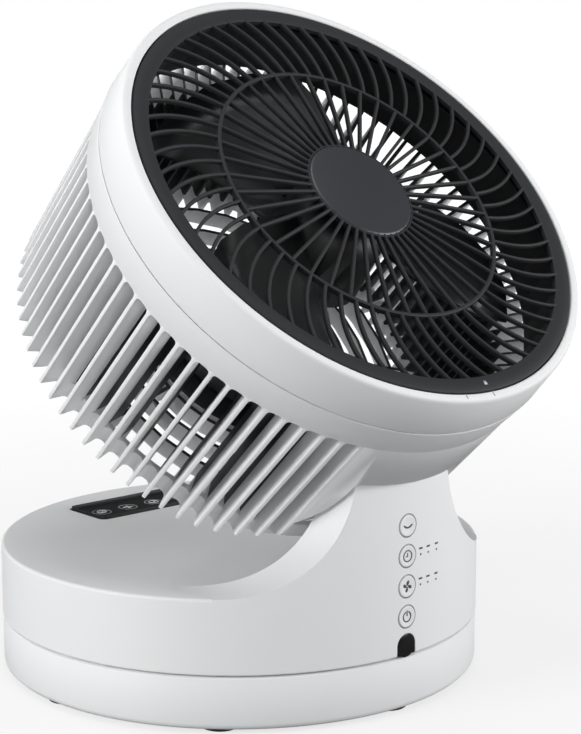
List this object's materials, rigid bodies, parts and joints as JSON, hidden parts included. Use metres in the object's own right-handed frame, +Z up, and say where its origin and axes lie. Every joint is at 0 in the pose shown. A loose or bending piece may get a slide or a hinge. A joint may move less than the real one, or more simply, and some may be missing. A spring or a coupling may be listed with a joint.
{
  "type": "air circulator fan",
  "caption": "Table air circulator: drum head with swept front grille and finned sides, tilting on a pillar over a round swinging base with push buttons and a stowed remote.",
  "frame": {"origin": "on the floor, under the middle of the whole object's box; the swing axis is 26.48 mm behind it", "axes": "+Z up; -Y is the way the base's front, with its buttons, faces; +X to the right seen from the front"},
  "size_m": [0.2532, 0.303, 0.3414],
  "materials": {
    "white_plastic": "satin white moulded plastic",
    "dark_grey_plastic": "fine satin dark grey moulded plastic",
    "black_plastic": "satin black moulded plastic",
    "dark_window": "glossy dark tinted plastic",
    "pad_rubber": "soft dark grey rubber",
    "bright_steel": "bright zinc plated steel",
    "motor_can": "cast aluminium can",
    "nylon": "natural nylon",
    "circuit_board": "green solder mask"
  },
  "bodies": {
    "foot": {"foot_shell": "white_plastic", "foot_pad_1": "pad_rubber", "foot_pad_2": "pad_rubber", "foot_pad_3": "pad_rubber", "foot_pad_4": "pad_rubber", "foot_pad_5": "pad_rubber", "foot_pad_6": "pad_rubber", "foot_pad_7": "pad_rubber", "foot_pad_8": "pad_rubber", "power_inlet": "black_plastic", "sun_gear": "nylon", "keeper_ring": "bright_steel"},
    "swivel": {"base_housing": "white_plastic", "turntable_plate": "white_plastic", "swing_motor": "bright_steel", "main_board": "circuit_board", "button_board": "circuit_board", "receiver_window": "dark_window", "timer_light_guide": "nylon", "speed_light_guide": "nylon", "hinge_pin": "bright_steel", "friction_washer_left": "nylon", "friction_washer_right": "nylon"},
    "pinion": {"swing_pinion": "nylon"},
    "power": {"power_button": "white_plastic"},
    "speed": {"speed_button": "white_plastic"},
    "timer": {"timer_button": "white_plastic"},
    "swing": {"swing_button": "white_plastic"},
    "remote": {"remote_shell": "black_plastic", "remote_keypad": "dark_window"},
    "head": {"front_ring": "white_plastic", "rear_housing": "white_plastic", "rear_grille": "white_plastic", "air_duct": "black_plastic", "motor_cover": "white_plastic", "fan_motor": "motor_can"},
    "rotor": {"motor_shaft": "bright_steel", "impeller": "black_plastic", "spinner_nut": "black_plastic"},
    "grille": {"front_grille": "dark_grey_plastic", "hub_plate": "dark_grey_plastic"}
  },
  "joints": [
    {"name": "base_swing", "type": "hinge", "parent": "foot", "child": "swivel", "pos_m": [0, 0.02648, 0], "axis": [0, 0, 1], "range_deg": [-40, 40]},
    {"name": "pinion_spin", "type": "hinge", "parent": "swivel", "child": "pinion", "pos_m": [0, 0.06688, 0], "axis": [0, 0, 1], "range_deg": [-121, 121]},
    {"name": "head_tilt", "type": "hinge", "parent": "swivel", "child": "head", "pos_m": [0, -0.08852, 0.1129], "axis": [1, 0, 0], "range_deg": [-12, 44]},
    {"name": "impeller_spin", "type": "hinge", "parent": "head", "child": "rotor", "pos_m": [0, -0.06535, 0.2522], "axis": [0, -0.7193, 0.6947], "continuous": true},
    {"name": "grille_twist", "type": "hinge", "parent": "head", "child": "grille", "pos_m": [0, -0.06535, 0.2522], "axis": [0, -0.7193, 0.6947], "range_deg": [0, 12]},
    {"name": "power_press", "type": "slide", "parent": "swivel", "child": "power", "axis": [0, 1, 0], "range_m": [0, 0.0008], "stiffness_N_per_m": 1200},
    {"name": "speed_press", "type": "slide", "parent": "swivel", "child": "speed", "axis": [0, 1, 0], "range_m": [0, 0.0008], "stiffness_N_per_m": 1200},
    {"name": "timer_press", "type": "slide", "parent": "swivel", "child": "timer", "axis": [0, 1, 0], "range_m": [0, 0.0008], "stiffness_N_per_m": 1200},
    {"name": "swing_press", "type": "slide", "parent": "swivel", "child": "swing", "axis": [0, 1, 0], "range_m": [0, 0.0008], "stiffness_N_per_m": 1200},
    {"name": "remote_lift", "type": "slide", "parent": "swivel", "child": "remote", "axis": [0, 0, 1], "range_m": [0, 0.03]}
  ],
  "couplings": [
    {"joint": "pinion_spin", "follows": "base_swing", "ratio": 3}
  ]
}
